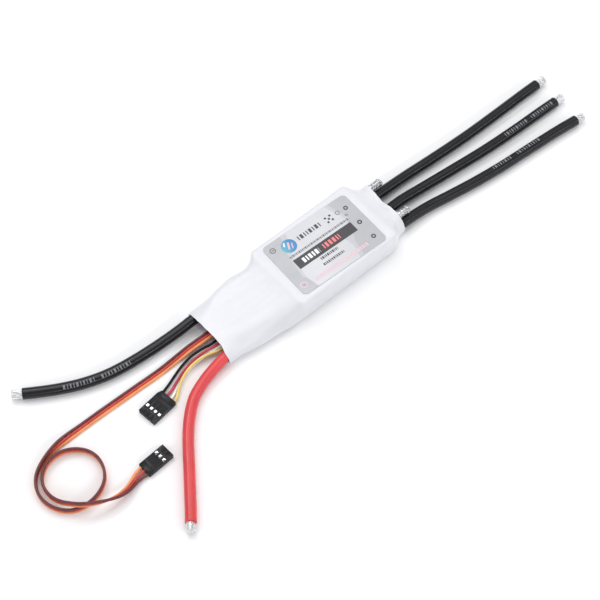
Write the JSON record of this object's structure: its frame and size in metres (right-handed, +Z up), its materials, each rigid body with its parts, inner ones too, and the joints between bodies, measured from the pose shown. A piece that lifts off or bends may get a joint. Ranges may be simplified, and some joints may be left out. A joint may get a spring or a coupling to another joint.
{
  "type": "electronic speed controller",
  "caption": "Water-cooled brushless speed controller in a white heat-shrink sleeve, with cooling nipples, power leads, a servo lead and a programming lead.",
  "frame": {"origin": "centre of the footprint of the sleeve and nipples, on the surface that the controller lies on", "axes": "+X along the body from the battery leads to the motor leads and nipples, +Z up through the label"},
  "size_m": [0.3453, 0.1125, 0.0155],
  "materials": {
    "white_film": "satin heat-shrink film",
    "silver_label": "satin printed foil",
    "plate_aluminium": "machined",
    "nipple_metal": "bright turned",
    "pad_grey": "soft, matt",
    "laminate": "green solder mask",
    "black_package": "moulded",
    "inductor_core": "moulded ferrite",
    "capacitor_jacket": "shrunk sleeve",
    "solder": "bright solder",
    "black_silicone": "smooth silicone",
    "red_silicone": "smooth silicone",
    "tinned_strands": "tinned copper",
    "brown_insulation": "satin",
    "red_insulation": "satin",
    "orange_insulation": "satin",
    "black_insulation": "satin",
    "white_insulation": "satin",
    "yellow_insulation": "satin",
    "plug_black": "fine moulded",
    "contact_metal": "plated"
  },
  "bodies": {
    "root": {"heat_shrink_sleeve": "white_film", "rating_label": "silver_label", "cooling_plate": "plate_aluminium", "channel_plug": "plate_aluminium", "water_nipple_far": "nipple_metal", "water_nipple_near": "nipple_metal", "thermal_pad": "pad_grey", "power_board": "laminate", "control_board": "laminate", "board_header": "black_package", "microcontroller": "black_package", "gate_driver_a": "black_package", "gate_driver_b": "black_package", "gate_driver_c": "black_package", "bec_regulator": "black_package", "bec_inductor": "inductor_core", "capacitor_block_far": "capacitor_jacket", "capacitor_block_near": "capacitor_jacket", "capacitor_neck_far": "capacitor_jacket", "capacitor_neck_near": "capacitor_jacket", "mosfet_1": "black_package", "mosfet_2": "black_package", "mosfet_3": "black_package", "mosfet_4": "black_package", "mosfet_5": "black_package", "mosfet_6": "black_package", "motor_terminal_a": "solder", "motor_terminal_b": "solder", "motor_terminal_c": "solder", "battery_terminal_negative": "solder", "battery_terminal_positive": "solder", "motor_lead_a": "black_silicone", "motor_lead_b": "black_silicone", "motor_lead_c": "black_silicone", "battery_lead_negative": "black_silicone", "battery_lead_positive": "red_silicone", "motor_tip_a": "tinned_strands", "motor_tip_b": "tinned_strands", "motor_tip_c": "tinned_strands", "battery_tip_negative": "tinned_strands", "battery_tip_positive": "tinned_strands", "servo_wire_brown": "brown_insulation", "servo_wire_red": "red_insulation", "servo_wire_orange": "orange_insulation", "servo_plug_housing": "plug_black", "servo_contact_1": "contact_metal", "servo_contact_2": "contact_metal", "servo_contact_3": "contact_metal", "program_wire_black": "black_insulation", "program_wire_red": "red_insulation", "program_wire_white": "white_insulation", "program_wire_yellow": "yellow_insulation", "program_plug_housing": "plug_black", "program_contact_1": "contact_metal", "program_contact_2": "contact_metal", "program_contact_3": "contact_metal", "program_contact_4": "contact_metal"}
  },
  "joints": []
}
